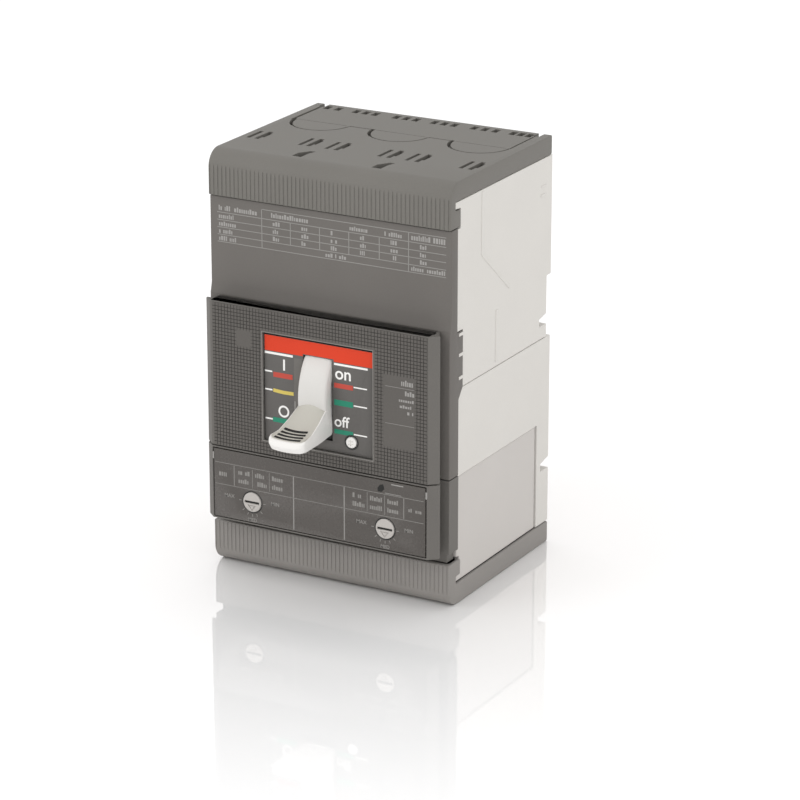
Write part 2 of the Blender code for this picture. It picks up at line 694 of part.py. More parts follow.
def trip_test_button():
    x, z = BUTTON_AT
    button = rod("Y", (x, -90.4, z), 2.2, 4.0, 20)
    join(button, rod("Y", (x, -89.0, z), 3.2, 1.2, 20))
    join(button, rod("Y", (x, -72.4, z), 1.2, 33.0, 12))
    cut(button, box((x - 1.6, x + 1.6), (-93, -92.0), (z - 0.35, z + 0.35)))
    part(button, "trip_test_button", "white_plastic")
    put_origin(button, (x, -89.4, z))
    spring = coil((x, -87.7, z), (x, -84.8, z), 2.2, 0.3, 4)
    part(spring, "trip_button_spring", "spring_steel")


def adjusting_dials():
    for name, x in (("thermal_dial", -DIAL_X), ("magnetic_dial", DIAL_X)):
        dial = rod("Y", (x, -92.2, DIAL_Z), DIAL_RADIUS, 1.7, 32)
        join(dial, rod("Y", (x, -86, DIAL_Z), 2.0, 12, 16))
        cut(dial, box((x - 3.2, x + 3.2), (-95, -92.4), (DIAL_Z - 0.55, DIAL_Z + 0.55)))
        part(dial, name, "dial_plastic")
        put_origin(dial, (x, -92.2, DIAL_Z))


def build():
    upper_case()
    lower_case()
    trip_unit_case()
    front_cover()
    escutcheon()
    indicator_plate()
    trip_unit_cover()
    trip_unit_faceplate()
    top_terminal_cover()
    bottom_terminal_cover()
    cover_screws()
    toggle_handle()
    handle_arm()
    mechanism_plates()
    mechanism_pins()
    cradle()
    latch_hook()
    toggle_links()
    main_springs()
    crossbar()
    moving_contacts()
    line_terminals()
    load_terminals()
    terminal_screws()
    arc_chutes()
    flexible_braids()
    trip_elements()
    trip_bar()
    trip_test_button()
    adjusting_dials()


build()
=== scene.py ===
"""Looks of the moulded case circuit breaker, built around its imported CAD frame.

Lengths are millimetres in the row frame (x right, y back, z up) and MM turns them into
metres. Most levels are read from the CAD nodes' boxes with span().
"""

import json
import math
import random

import bmesh
import bpy
from mathutils import Matrix, Vector


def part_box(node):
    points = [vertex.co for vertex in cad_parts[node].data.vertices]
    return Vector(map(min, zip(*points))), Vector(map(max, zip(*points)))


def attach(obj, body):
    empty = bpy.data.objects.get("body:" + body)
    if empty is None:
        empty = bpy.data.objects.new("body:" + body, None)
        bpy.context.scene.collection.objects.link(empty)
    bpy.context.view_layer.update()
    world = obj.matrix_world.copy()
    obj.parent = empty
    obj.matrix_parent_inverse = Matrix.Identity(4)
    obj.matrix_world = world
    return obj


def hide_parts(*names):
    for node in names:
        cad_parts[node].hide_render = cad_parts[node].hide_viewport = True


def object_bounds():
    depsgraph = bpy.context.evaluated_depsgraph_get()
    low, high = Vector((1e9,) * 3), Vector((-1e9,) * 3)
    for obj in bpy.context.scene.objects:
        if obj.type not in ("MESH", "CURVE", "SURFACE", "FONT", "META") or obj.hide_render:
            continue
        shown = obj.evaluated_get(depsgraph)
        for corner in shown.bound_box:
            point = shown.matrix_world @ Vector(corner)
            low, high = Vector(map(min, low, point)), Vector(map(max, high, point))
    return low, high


MM = 0.001
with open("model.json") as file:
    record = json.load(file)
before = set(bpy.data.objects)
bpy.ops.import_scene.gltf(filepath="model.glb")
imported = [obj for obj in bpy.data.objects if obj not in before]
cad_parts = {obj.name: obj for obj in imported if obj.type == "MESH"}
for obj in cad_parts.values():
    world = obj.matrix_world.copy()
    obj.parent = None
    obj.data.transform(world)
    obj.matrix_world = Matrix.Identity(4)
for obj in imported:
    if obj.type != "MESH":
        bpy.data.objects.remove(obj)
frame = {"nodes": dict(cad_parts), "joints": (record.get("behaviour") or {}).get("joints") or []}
CAD_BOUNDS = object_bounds()
BODY = "breaker_body"


def span(name):
    """Lowest and highest corner of a CAD node, in millimetres."""
    low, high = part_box(name)
    return low / MM, high / MM


# ---- shared sizes and levels --------------------------------------------------------

POLE_PITCH = 35.0
RATING_FRONT = -83.0            # front of the rating plate area
ESC_LOW, ESC_HIGH = span("escutcheon")
GROOVE_DEPTH = 0.2              # of the grid on the escutcheon
GRID_FRONT = ESC_LOW.y - GROOVE_DEPTH - 0.05
CHANNEL_HALF = 47.4             # half length of the channel behind the escutcheon's top edge
HANDLE_X = -0.4                 # the handle sits a little left of the middle
SHIELD_RADIUS = 25.6            # of the curved shield behind the lever
BUTTON_LOW, BUTTON_HIGH = span("trip_test_button")
BUTTON = ((BUTTON_LOW.x + BUTTON_HIGH.x) / 2, (BUTTON_LOW.z + BUTTON_HIGH.z) / 2)


# ---- materials ----------------------------------------------------------------------

def node(tree, kind, inputs=None, **settings):
    """Adds a shader node; an input is given as a value or as the socket that feeds it."""
    made = tree.nodes.new("ShaderNode" + kind)
    for key, value in settings.items():
        setattr(made, key, value)
    for key, value in (inputs or {}).items():
        if isinstance(value, bpy.types.NodeSocket):
            tree.links.new(value, made.inputs[key])
        else:
            made.inputs[key].default_value = value
    return made


def scaled(colour, factor):
    return (*(min(channel * factor, 1.0) for channel in colour), 1.0)


def blend(tree, factor, low, high):
    """A colour between low and high, each a colour or a socket."""
    mix = node(tree, "Mix", data_type="RGBA")
    for socket, value in ((mix.inputs[0], factor), (mix.inputs[6], low), (mix.inputs[7], high)):
        if isinstance(value, bpy.types.NodeSocket):
            tree.links.new(value, socket)
        else:
            socket.default_value = value
    return mix.outputs[2]


def surface(name, colour, roughness, grain=2400.0, bump=0.25, spread=0.05, metallic=0.0,
            stretch=(1.0, 1.0, 1.0), coat=0.0, ior=1.45, pattern=None):
    """A moulded or metal surface: cloudy colour, fine grain, uneven gloss.

    grain is the grain's frequency per metre, stretch draws it out along an axis, and
    pattern is a function that may change the colour socket.
    """
    material = bpy.data.materials.new(name)
    material.use_nodes = True
    tree = material.node_tree
    shader = tree.nodes["Principled BSDF"]
    place = node(tree, "TexCoord").outputs["Object"]
    drawn = node(tree, "Mapping", {"Vector": place, "Scale": stretch}).outputs[0]
    cloud = node(tree, "TexNoise", {"Vector": place, "Scale": 38.0, "Detail": 4.0}).outputs[0]
    fine = node(tree, "TexNoise", {"Vector": drawn, "Scale": grain, "Detail": 2.0}).outputs[0]
    mottle = node(tree, "Math", {0: cloud, 1: fine}, operation="ADD").outputs[0]
    share = node(tree, "MapRange", {"Value": mottle, "From Min": 0.7, "From Max": 1.3}).outputs[0]
    tone = blend(tree, share, scaled(colour, 1.0 - spread), scaled(colour, 1.0 + spread))
    if pattern:
        tone = pattern(tree, place, tone)
    tree.links.new(tone, shader.inputs["Base Color"])
    gloss = node(tree, "MapRange", {"Value": mottle, "From Min": 0.7, "From Max": 1.3,
                                    "To Min": roughness - 0.05, "To Max": roughness + 0.05})
    tree.links.new(gloss.outputs[0], shader.inputs["Roughness"])
    relief = node(tree, "Bump", {"Height": fine, "Strength": bump, "Distance": 0.04 * MM})
    tree.links.new(relief.outputs[0], shader.inputs["Normal"])
    shader.inputs["Metallic"].default_value = metallic
    shader.inputs["IOR"].default_value = ior
    shader.inputs["Coat Weight"].default_value = coat
    shader.inputs["Coat Roughness"].default_value = 0.12
    return material


def painted_groove_shade(tree, place, tone):
    """Paints shade into the grid's grooves: what lies behind the front of its pads is darkened."""
    depth = node(tree, "SeparateXYZ", {0: place}).outputs["Y"]
    share = node(tree, "MapRange", {"Value": depth, "From Min": GRID_FRONT * MM,
                                    "From Max": (GRID_FRONT + GROOVE_DEPTH) * MM}).outputs[0]
    # near black painted shade at the bottom of the grooves
    return blend(tree, share, tone, (0.035, 0.034, 0.031, 1.0))


def fibre_cheeks(tree, place, tone):
    """Brown fibre where an arc chute's two cheeks are, away from each pole's middle."""
    across = node(tree, "SeparateXYZ", {0: place}).outputs["X"]
    offset = node(tree, "Math", {0: across, 1: POLE_PITCH / 2 * MM}, operation="PINGPONG").outputs[0]
    cheek = node(tree, "Math", {0: offset, 1: 12.6 * MM}, operation="GREATER_THAN").outputs[0]
    return blend(tree, cheek, tone, (0.30, 0.13, 0.06, 1.0))


def woven(tree, place, tone):
    """Crossing strands of a flat braid."""
    strands = []
    for turn in (0.8, -0.8):
        turned = node(tree, "Mapping", {"Vector": place, "Rotation": (turn, 0.0, turn)})
        wave = node(tree, "TexWave", {"Vector": turned.outputs[0], "Scale": 900.0})
        strands.append(wave.outputs[1])
    share = node(tree, "Math", {0: strands[0], 1: strands[1]}, operation="MULTIPLY").outputs[0]
    return blend(tree, share, tone, (0.25, 0.11, 0.06, 1.0))


MATT = 1.25                     # refractive index that stands in for a matt, textured finish

CASE = surface("light_housing", (0.615, 0.595, 0.563), 0.5, spread=0.02, ior=MATT)
TRIP_CASE = surface("trip_housing", (0.525, 0.500, 0.476), 0.5, spread=0.02, ior=MATT)
CAP = surface("dark_cover", (0.164, 0.156, 0.142), 0.55, ior=MATT)
# the dark cover's plastic made lighter: painted light bounced up from the floor onto the lower cap
CAP_FLOOR_LIT = surface("dark_cover_painted_floor_light", (0.25, 0.236, 0.222), 0.55, ior=MATT)
COVER = surface("main_cover", (0.142, 0.132, 0.122), 0.55, ior=MATT)
# the grid's plastic, with painted shade in its grooves
GRID = surface("grid_front", (0.112, 0.104, 0.096), 0.55, ior=MATT, pattern=painted_groove_shade)
FRONT = surface("textured_front", (0.142, 0.134, 0.124), 0.55, ior=MATT)
# lighter than the escutcheon's front: painted highlight on the window rim's edges
RIM_PAINTED_HIGHLIGHT = surface("rim_painted_highlight", (0.21, 0.20, 0.187), 0.5, ior=MATT)
PLATE = surface("indicator_plate", (0.118, 0.112, 0.106), 0.5, ior=MATT)
GLOSSY = surface("faceplate", (0.071, 0.063, 0.056), 0.26, grain=900.0, bump=0.015, spread=0.03, coat=0.12)
WHITE = surface("white_plastic", (0.79, 0.775, 0.75), 0.35, spread=0.015, bump=0.1, coat=0.1)
# the white plastic made darker: painted shade on the handle's shield
WHITE_PAINTED_SHADE = surface("white_plastic_painted_shade", (0.63, 0.615, 0.59), 0.4, spread=0.015, bump=0.1)
# matt copy of the white plastic made darker: painted shade on the lever's top
WHITE_TOP_PAINTED_SHADE = surface("lever_top_painted_shade", (0.50, 0.485, 0.435), 0.5, spread=0.02, ior=MATT)
DIAL = surface("dial_plastic", (0.46, 0.436, 0.412), 0.45, spread=0.03, ior=MATT)
BLACK = surface("black_plastic", (0.02, 0.02, 0.019), 0.5)
# near black: the grip bars' own black, and painted shade in the caps' hollows, the dial slots and the seal
# notch
BLACK_AND_PAINTED_SHADE = surface("black_and_painted_shade", (0.012, 0.012, 0.011), 0.7)
# dark grey painted shade for the channel behind the escutcheon's top edge
PAINTED_CHANNEL_SHADE = surface("painted_channel_shade", (0.050, 0.047, 0.043), 0.6, ior=MATT)
RED = surface("print_red", (0.63, 0.050, 0.019), 0.5, bump=0.05, ior=MATT)
DULL_RED = surface("print_dull_red", (0.48, 0.075, 0.055), 0.5, bump=0.05, ior=MATT)
GREEN = surface("print_green", (0.030, 0.23, 0.145), 0.5, bump=0.05, ior=MATT)
YELLOW = surface("print_yellow", (0.60, 0.48, 0.12), 0.5, bump=0.05, ior=MATT)
INK = surface("print_white", (0.82, 0.81, 0.79), 0.5, bump=0.05, ior=MATT)
PALE_INK = surface("print_pale", (0.31, 0.30, 0.287), 0.5, bump=0.05, ior=MATT)
FAINT_INK = surface("print_faint", (0.255, 0.246, 0.233), 0.5, bump=0.05, ior=MATT)
COPPER = surface("copper", (0.72, 0.40, 0.26), 0.32, metallic=1.0, stretch=(1.0, 1.0, 0.05))
BRAID = surface("braid", (0.70, 0.38, 0.24), 0.42, metallic=1.0, pattern=woven)
ZINC = surface("zinc_steel", (0.62, 0.62, 0.60), 0.33, metallic=1.0, stretch=(1.0, 0.08, 1.0))
PIN = surface("pin_steel", (0.50, 0.50, 0.50), 0.25, metallic=1.0, stretch=(0.05, 1.0, 1.0))
CHUTE = surface("arc_chute", (0.42, 0.41, 0.39), 0.45, metallic=0.5, pattern=fibre_cheeks)
SPRING = surface("spring_steel", (0.35, 0.35, 0.36), 0.3, metallic=1.0)
BIMETAL = surface("bimetal_strip", (0.55, 0.50, 0.44), 0.38, metallic=1.0,
                  stretch=(1.0, 1.0, 0.06))


# ---- shapes -------------------------------------------------------------------------

def mesh_object(name, bm):
    mesh = bpy.data.meshes.new(name)
    bmesh.ops.recalc_face_normals(bm, faces=bm.faces)
    bm.to_mesh(mesh)
    bm.free()
    obj = bpy.data.objects.new(name, mesh)
    bpy.context.scene.collection.objects.link(obj)
    return obj


AXIS_ORDER = {"X": (2, 0, 1), "Y": (0, 2, 1), "Z": (0, 1, 2)}


def prism(axis, points, start, end):
    """A closed outline pushed along an axis. Its points are (y, z), (x, z) or (x, y)."""
    order = AXIS_ORDER[axis]
    bm = bmesh.new()
    corners = []
    for a, b in points:
        place = (a, b, start)
        corners.append(bm.verts.new([place[index] * MM for index in order]))
    push = Vector([(0.0, 0.0, (end - start) * MM)[index] for index in order])
    face = bm.faces.new(corners)
    grown = bmesh.ops.extrude_face_region(bm, geom=[face])
    moved = [item for item in grown["geom"] if isinstance(item, bmesh.types.BMVert)]
    bmesh.ops.translate(bm, verts=moved, vec=push)
    return mesh_object("shape", bm)


def box(x, y, z):
    return prism("Z", [(x[0], y[0]), (x[1], y[0]), (x[1], y[1]), (x[0], y[1])], *z)


def arc(centre, radius, start_deg, end_deg, steps=12):
    points = []
    for step in range(steps + 1):
        angle = math.radians(start_deg + (end_deg - start_deg) * step / steps)
        points.append((centre[0] + radius * math.cos(angle),
                       centre[1] + radius * math.sin(angle)))
    return points


def rod(axis, centre, radius, start, end, steps=40):
    """A cylinder along an axis; centre is a point in the plane across it."""
    return prism(axis, arc(centre, radius, 0.0, 360.0, steps)[:-1], start, end)


def ring(axis, centre, radius, width, start, end):
    """A flat ring, as a tube's slice."""
    outer = rod(axis, centre, radius, start, end)
    return cut(outer, rod(axis, centre, radius - width, start - 1.0, end + 1.0))


def settle(obj):
    """Bakes an object's modifiers into its mesh."""
    bpy.context.view_layer.update()
    graph = bpy.context.evaluated_depsgraph_get()
    mesh = bpy.data.meshes.new_from_object(obj.evaluated_get(graph))
    obj.modifiers.clear()
    obj.data = mesh
    return obj


def combine(obj, other, operation):
    modifier = obj.modifiers.new("combine", "BOOLEAN")
    modifier.operation = operation
    modifier.solver = "EXACT"
    modifier.object = other
    settle(obj)
    bpy.data.objects.remove(other, do_unlink=True)
    return obj


def gather(shapes):
    """Several shapes that don't touch, as one object."""
    bm = bmesh.new()
    for shape in shapes:
        shape.data.transform(shape.matrix_world)
        bm.from_mesh(shape.data)
        bpy.data.objects.remove(shape, do_unlink=True)
    return mesh_object("shapes", bm)


def cut(obj, *cutters):
    return combine(obj, gather(cutters), "DIFFERENCE")


def join(obj, *others):
    for other in others:
        combine(obj, other, "UNION")
    return obj


def soften(obj, width, segments=2, angle=35.0):
    """Rounds an object's edges with a Bevel modifier that is left on it."""
    modifier = obj.modifiers.new("rounded", "BEVEL")
    modifier.width = width * MM
    modifier.segments = segments
    modifier.limit_method = "ANGLE"
    modifier.angle_limit = math.radians(angle)
    modifier.miter_outer = "MITER_ARC"
    return obj


def finish(obj, name, material, body=BODY, replaces=(), sharp=35.0):
    """Makes a shape a named piece: baked, shaded, painted and riding on its body."""
    settle(obj)
    obj.name = name
    obj.data.name = name
    obj.data.materials.clear()
    obj.data.materials.append(material)
    obj.data.shade_smooth()
    obj.data.set_sharp_from_angle(angle=math.radians(sharp))
    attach(obj, body)
    if replaces:
        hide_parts(*replaces)
    return obj


def strip(points, width):
    """The outline of a strip of even width that follows a path of flat points."""
    left = []
    right = []
    for index, point in enumerate(points):
        before = Vector(points[max(index - 1, 0)])
        after = Vector(points[min(index + 1, len(points) - 1)])
        along = (after - before).normalized()
        side = Vector((-along.y, along.x)) * width / 2
        left.append(tuple(Vector(point) + side))
        right.append(tuple(Vector(point) - side))
    return left + right[::-1]


INK_RAISE = 0.05                # how far a printed mark stands proud of its plate


def mark(x, z, front):
    """A printed rectangle on a front plane."""
    return box(x, (front - INK_RAISE, front + INK_RAISE), z)


def lettering(text, x, z, height, front, centred=False):
    """Printed words as solid letters; x, z is their lower left corner or middle."""
    curve = bpy.data.curves.new("letters", "FONT")
    curve.body = text
    curve.offset = 0.012
    curve.extrude = 0.5
    obj = bpy.data.objects.new("letters", curve)
    bpy.context.scene.collection.objects.link(obj)
    settled = bpy.data.meshes.new_from_object(obj)
    bpy.data.objects.remove(obj, do_unlink=True)
    bm = bmesh.new()
    bm.from_mesh(settled)
    bmesh.ops.remove_doubles(bm, verts=bm.verts, dist=0.0005)
    low = [min(vertex.co[axis] for vertex in bm.verts) for axis in (0, 1)]
    high = [max(vertex.co[axis] for vertex in bm.verts) for axis in (0, 1)]
    size = height / (high[1] - low[1])
    shift = (high[0] - low[0]) * size / 2 if centred else 0.0
    for vertex in bm.verts:
        a, b, c = vertex.co
        vertex.co = Vector(((a - low[0]) * size + x - shift, front - c * 2 * INK_RAISE,
                            (b - low[1]) * size + z)) * MM
    return mesh_object("letters", bm)


def scribble(x, z, height, front, seed):
    """A row of plain blocks that stands in for small print, between two x places."""
    draw = random.Random(seed)
    blocks = []
    left = x[0]
    while left < x[1] - 0.4:
        width = draw.uniform(0.45, 0.95)
        top = height * draw.choice((1.0, 0.75, 0.75))
        if draw.random() > 0.12:
            blocks.append(mark((left, min(left + width, x[1])), (z, z + top), front))
        left += width + 0.28
    return blocks


# ---- terminal covers ----------------------------------------------------------------

CAP_INNER = 60.0                # level that the caps' cutters reach, past their inner ends
RIB_COUNT = 57
RIB_GROOVE = 0.75
RIB_DEPTH = 0.2
CAP_ROUND = 7.0
POLES = (-POLE_PITCH, 0.0, POLE_PITCH)


def rib_grooves(low, high, sign):
    """Tapered cutters between the ribs of a cap's front."""
    pitch = (high.x - low.x - 1.6) / RIB_COUNT
    ends = sorted((sign * (abs(low.z if sign < 0 else high.z) + 1.0), sign * CAP_INNER))
    cutters = []
    for index in range(RIB_COUNT + 1):
        x = low.x + 0.8 + pitch * index
        half = RIB_GROOVE / 2
        outline = [(x - half, low.y - 0.2), (x + half, low.y - 0.2),
                   (x + half * 0.55, low.y + RIB_DEPTH), (x - half * 0.55, low.y + RIB_DEPTH)]
        cutters.append(prism("Z", outline, *ends))
    return cutters


def knockouts(face, sign):
    """Grooves round the three cable knockouts and their shared rear door."""
    radius = 12.3
    row = -27.5
    path = [(-47.6, -4.0), (-47.6, row)]
    for x in POLES:
        path += arc((x, row), radius, 180.0, 360.0, 24)
    path += [(47.6, row), (47.6, -6.0)]
    depth = sorted((face - sign * 0.7, face + sign * 1.0))
    grooves = [prism("Z", strip(path, 0.7), *depth)]
    deep = sorted((face - sign * 2.0, face + sign * 1.0))
    grooves.append(box((-48.5, -47.4), (-29.0, -4.0), deep))
    for x in POLES:
        grooves.append(box((x - radius + 1.2, x + radius - 1.2), (row - 0.15, row + 0.15),
                           sorted((face - sign * 0.35, face + sign * 1.0))))
        crescent = arc((x, row), radius + 0.5, 176.0, 228.0, 10)
        crescent += arc((x + 1.5, row - 0.1), radius + 0.4, 228.0, 178.0, 10)
        grooves.append(prism("Z", crescent, *deep))
    return grooves


def vents(face, sign):
    """Cutters of a cap's outer face: rear vents, paired slots, recesses, and shallow steps."""
    through = sorted((face - sign * 3.2, face + sign * 1.0))
    shallow = sorted((face - sign * 0.9, face + sign * 1.0))
    cutters = []
    steps = []
    for first, last, count in ((-44.7, -39.8, 2), (-31.6, -22.9, 3), (-13.4, -4.6, 3),
                               (3.6, 12.4, 3), (21.2, 30.6, 3), (38.2, 45.2, 3)):
        for index in range(count):
            x = first + (last - first) * index / (count - 1)
            cutters.append(box((x - 1.3, x + 1.3), (-8.6, -3.9), through))
    for left, right in ((-48.5, -44.6), (-25.5, -21.7), (-13.8, -9.5), (9.2, 13.4),
                        (21.1, 25.5), (44.2, 48.3)):
        cutters.append(box((left - 0.8, left + 0.8), (-61.2, -50.3), through))
        cutters.append(box((right - 1.1, right + 0.8), (-61.2, -49.6), through))
        steps.append(box((right, right + 1.6), (-58.0, -51.5), shallow))
    for x in (-17.5, 17.0):
        pocket = [(x - 2.4, -76.2), (x + 1.6, -76.2), (x + 1.6, -70.5), (x + 2.8, -67.0),
                  (x + 0.6, -67.0), (x - 2.4, -71.5)]
        cutters.append(prism("Z", pocket, *through))
    return cutters, steps


def terminal_cover(name, sign, inner, material):
    """A ribbed cap; inner is its shell's inside outline, from the back to the front."""
    low, high = span(name)
    face = high.z if sign > 0 else low.z
    joint = low.z if sign > 0 else high.z
    centre = (low.y + CAP_ROUND, face - sign * CAP_ROUND)
    profile = [(low.y, joint)] + arc(centre, CAP_ROUND, 180.0, 180.0 - sign * 90.0, 14)
    profile += [(high.y, face)] + inner + [(inner[-1][0], joint)]
    cap = prism("X", profile, low.x, high.x)
    hollow = sorted((face - sign * 2.6, sign * CAP_INNER))
    cut(cap, box((low.x + 1.6, high.x - 1.6), (low.y + 2.5, high.y - 2.2), hollow))
    settle(soften(cap, 0.5, 3, 50.0))
    cut(cap, *rib_grooves(low, high, sign))
    for cutters in vents(face, sign):
        cut(cap, *cutters)
    for groove in knockouts(face, sign):
        cut(cap, groove)
    notch = sorted((face - sign * 3.4, face + sign * 1.0))
    cut(cap, box((46.6, 49.2), (-6.0, 1.0), notch), box((-49.2, -46.6), (-6.0, 1.0), notch))
    finish(cap, name + "_moulded", material, replaces=(name,), sharp=32.0)
    # a black sheet under the cap's top wall: painted shade seen through its vents and slots
    depth = sorted((face - sign * 2.7, face - sign * 3.3))
    cap_shade_sheet = soften(box((low.x + 2.0, high.x - 2.0), (low.y + 3.0, -2.6), depth), 0.2, 2)
    finish(cap_shade_sheet, name + "_painted_shade_sheet", BLACK_AND_PAINTED_SHADE)


# ---- front --------------------------------------------------------------------------

def main_cover():
    """Rating plate area with rounded corners, a cove along its foot and the side rails."""
    low, high = span("front_cover")
    plate = RATING_FRONT
    foot = ESC_HIGH.z
    profile = [(plate, high.z), (-77.9, high.z), (-77.9, 25.3), (-73.5, 25.3), (-73.5, 3.0),
               (-76.8, -1.2), (-76.8, low.z), (low.y, low.z), (low.y, foot + 0.4),
               (low.y + 0.3, foot + 1.4), (plate, foot + 4.4)]
    cover = prism("X", profile, low.x, high.x)
    cut(cover, box((-50.0, 50.0), (-80.5, -60.0), (-29.0, 63.5)))
    cut(cover, box((-12.2, 12.2), (-90.0, -70.0), (-40.0, 22.0)))
    cut(cover, rod("Y", BUTTON, 1.7, -87.0, -77.0))
    cut(cover, box((-CHANNEL_HALF, CHANNEL_HALF), (-86.0, -81.2), (22.9, 26.6)))
    soften(cover, 0.7, 3, 15.0)
    finish(cover, "front_cover_moulded", COVER, replaces=("front_cover",))


TABLE_LEFT, TABLE_RIGHT = -49.3, 50.2
TABLE_COLUMNS = (-29.4, -16.8, -4.0, 8.7, 21.8, 34.3)
TABLE_ROWS = (63.3, 59.7, 56.7, 53.8, 50.9, 48.0)


def rating_table():
    """Thin ruled table whose print is only plain blocks."""
    lines = []
    for row in TABLE_ROWS:
        left = TABLE_COLUMNS[0] if row == TABLE_ROWS[0] else TABLE_LEFT
        lines.append(mark((left, TABLE_RIGHT), (row - 0.17, row + 0.17), RATING_FRONT))
    finish(gather(lines), "rating_rows", FAINT_INK)
    posts = []
    for column in TABLE_COLUMNS:
        outer = column in (TABLE_COLUMNS[0], TABLE_COLUMNS[-1])
        ends = (TABLE_ROWS[-1], TABLE_ROWS[0]) if outer else (TABLE_ROWS[4], TABLE_ROWS[1])
        posts.append(mark((column - 0.2, column + 0.2), ends, RATING_FRONT - 0.02))
    finish(gather(posts), "rating_columns", FAINT_INK)
    words = scribble((-48.6, -31.5), 60.5, 2.0, RATING_FRONT, 1)
    words += scribble((-26.5, -8.5), 60.6, 1.9, RATING_FRONT, 2)
    words += scribble((9.0, 17.0), 60.5, 1.7, RATING_FRONT, 3)
    words += scribble((24.0, 32.0), 60.5, 1.7, RATING_FRONT, 4)
    words += scribble((35.4, 49.8), 60.5, 2.1, RATING_FRONT, 5)
    for number, row in enumerate(TABLE_ROWS[1:5]):
        words += scribble((-48.6, -42.0 + number % 2), row - 2.4, 1.8, RATING_FRONT, 10 + number)
    for column, left in enumerate(TABLE_COLUMNS):
        for number, row in enumerate(TABLE_ROWS[1:4]):
            seed = 20 + column * 3 + number
            words += scribble((left + 4.8, left + 7.9), row - 2.3, 1.7, RATING_FRONT, seed)
    words += scribble((-1.5, 7.5), 48.6, 1.6, RATING_FRONT, 50)
    words += scribble((35.4, 49.8), 48.6, 1.7, RATING_FRONT, 51)
    finish(gather(words), "rating_print", PALE_INK)


GRID_PITCH = 1.4
GRID_GROOVE = 0.36
RIM = 0.9                       # smooth rim round the window
SMOOTH_PATCHES = ((-36.3, -29.4, 10.3, 17.2), (29.0, 42.7, -19.0, 9.9))
WINDOW = (24.2, -25.8, 18.0)    # half width, bottom and top of the opening


def inside(x, z, patch, edge=0.0):
    left, right, bottom, top = patch
    return left - edge <= x <= right + edge and bottom - edge <= z <= top + edge


def grid_lines(start, end):
    """Groove edges and middles from start to end, and whether each is a groove's middle."""
    count = round((end - start) / GRID_PITCH)
    pitch = (end - start) / count
    places = [(start, False)]
    for index in range(1, count):
        middle = start + pitch * index
        places += [(middle - GRID_GROOVE / 2, False), (middle, True),
                   (middle + GRID_GROOVE / 2, False)]
    return places + [(end, False)]


def grid_front():
    """Closed slab whose front is cut by a fine square grid, with smooth patches left in."""
    half, bottom, top = WINDOW
    opening = (-half, half, bottom, top)
    columns = grid_lines(-46.4, 47.4) + [(-half, False), (half, False)]
    rows = grid_lines(ESC_LOW.z + 0.3, ESC_HIGH.z - 0.3) + [(bottom, False), (top, False)]
    columns.sort()
    rows.sort()
    back = ESC_LOW.y + 0.03
    bm = bmesh.new()
    sheet = {}
    for i, (x, x_deep) in enumerate(columns):
        for j, (z, z_deep) in enumerate(rows):
            smooth = inside(x, z, opening, RIM) or any(inside(x, z, p) for p in SMOOTH_PATCHES)
            deep = (x_deep or z_deep) and not smooth
            y = GRID_FRONT + (GROOVE_DEPTH if deep else 0.0)
            sheet[i, j] = bm.verts.new((x * MM, y * MM, z * MM))
    for i in range(len(columns) - 1):
        for j in range(len(rows) - 1):
            x = (columns[i][0] + columns[i + 1][0]) / 2
            z = (rows[j][0] + rows[j + 1][0]) / 2
            if not inside(x, z, opening):
                bm.faces.new((sheet[i, j], sheet[i + 1, j], sheet[i + 1, j + 1], sheet[i, j + 1]))
    loose = [vertex for vertex in bm.verts if not vertex.link_faces]
    bmesh.ops.delete(bm, geom=loose, context="VERTS")
    rim = [edge for edge in bm.edges if edge.is_boundary]
    walls = bmesh.ops.extrude_edge_only(bm, edges=rim)["geom"]
    for vertex in (item for item in walls if isinstance(item, bmesh.types.BMVert)):
        vertex.co.y = back * MM
    backs = [edge for edge in bm.edges if edge.is_boundary]
    bmesh.ops.triangle_fill(bm, edges=backs, use_beauty=True, use_dissolve=False)
    finish(mesh_object("grid", bm), "escutcheon_grid", GRID, sharp=20.0)


def frame_round(x, z, width, y):
    """A rectangular frame whose inside is x by z."""
    outer = box((x[0] - width, x[1] + width), y, (z[0] - width, z[1] + width))
    return cut(outer, box(x, (y[0] - 1.0, y[1] + 1.0), z))


def label_print():
    """Plain blocks and a short line on the smooth patch right of the window."""
    left, right, bottom, top = SMOOTH_PATCHES[1]
    rows = ((top - 3.6, 2.3, 5.6), (top - 7.4, 1.9, 4.0), (top - 10.0, 1.2, 6.6),
            (top - 12.4, 1.2, 6.2), (top - 14.8, 1.2, 3.0))
    words = []
    for number, (z, height, width) in enumerate(rows):
        words += scribble((right - 0.6 - width, right - 0.6), z, height, GRID_FRONT, 100 + number)
    finish(gather(words), "label_print", PALE_INK)
    lines = [mark((left + 0.6, right - 0.6), (z - 0.1, z + 0.1), GRID_FRONT)
             for z in (top - 4.6, bottom + 9.6)]
    finish(gather(lines), "label_lines", FAINT_INK)


def window_rim():
    half, bottom, top = WINDOW
    rim = frame_round((-half + 0.05, half - 0.05), (bottom + 0.05, top - 0.05), 0.4,
                      (GRID_FRONT - 0.1, ESC_LOW.y + 0.6))
    soften(rim, 0.12, 2)
    # lighter grey: painted highlight on the rim's edges
    finish(rim, "window_rim", RIM_PAINTED_HIGHLIGHT)


def channel_painted_shade():
    """Dark sheet over the floor and rear wall of the channel behind the escutcheon's top edge: painted
    shade.
    """
    outline = [(-91.1, 22.85), (-85.6, 22.85), (-85.6, 26.9), (-86.2, 26.9), (-86.2, 23.4),
               (-91.1, 23.4)]
    half = CHANNEL_HALF - 0.2
    channel_shade_sheet = soften(prism("X", outline, -half, half), 0.15, 2)
    finish(channel_shade_sheet, "channel_painted_shade", PAINTED_CHANNEL_SHADE)


